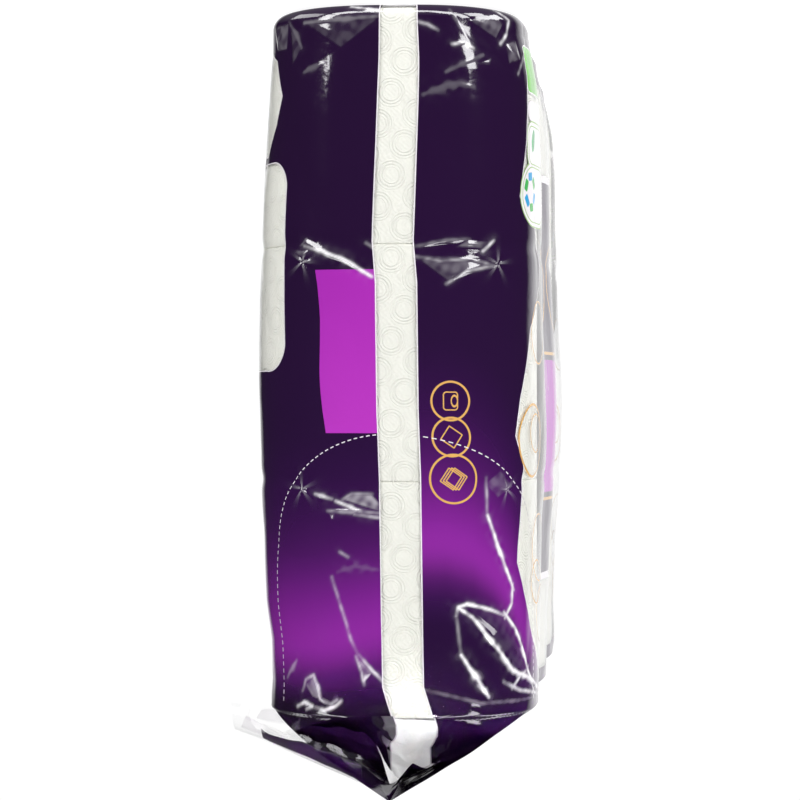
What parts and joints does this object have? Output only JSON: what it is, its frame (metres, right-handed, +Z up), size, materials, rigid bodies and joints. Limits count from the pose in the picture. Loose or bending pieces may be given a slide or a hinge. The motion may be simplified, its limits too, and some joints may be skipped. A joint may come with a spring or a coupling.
{
  "type": "toilet paper roll pack",
  "caption": "Upright pack of toilet paper rolls in tiers, wrapped in a tight printed film bag with a folded flat end and a gusseted, sealed end.",
  "frame": {"origin": "middle of the flat folded end that the pack stands on", "axes": "+X along the row of rolls, -Y towards the front broad side, +Z up from the flat end to the sealed end"},
  "size_m": [0.3468, 0.1234, 0.3225],
  "materials": {
    "film": "thin glossy printed film with clear windows",
    "paper": "soft embossed tissue",
    "core": "matt grey-brown cardboard"
  },
  "bodies": {
    "root": {"film_wrap": "film", "roll_1_1_paper": "paper", "roll_1_1_core": "core", "roll_1_2_paper": "paper", "roll_1_2_core": "core", "roll_1_3_paper": "paper", "roll_1_3_core": "core", "roll_2_1_paper": "paper", "roll_2_1_core": "core", "roll_2_2_paper": "paper", "roll_2_2_core": "core", "roll_2_3_paper": "paper", "roll_2_3_core": "core", "roll_3_1_paper": "paper", "roll_3_1_core": "core", "roll_3_2_paper": "paper", "roll_3_2_core": "core", "roll_3_3_paper": "paper", "roll_3_3_core": "core"}
  },
  "joints": []
}
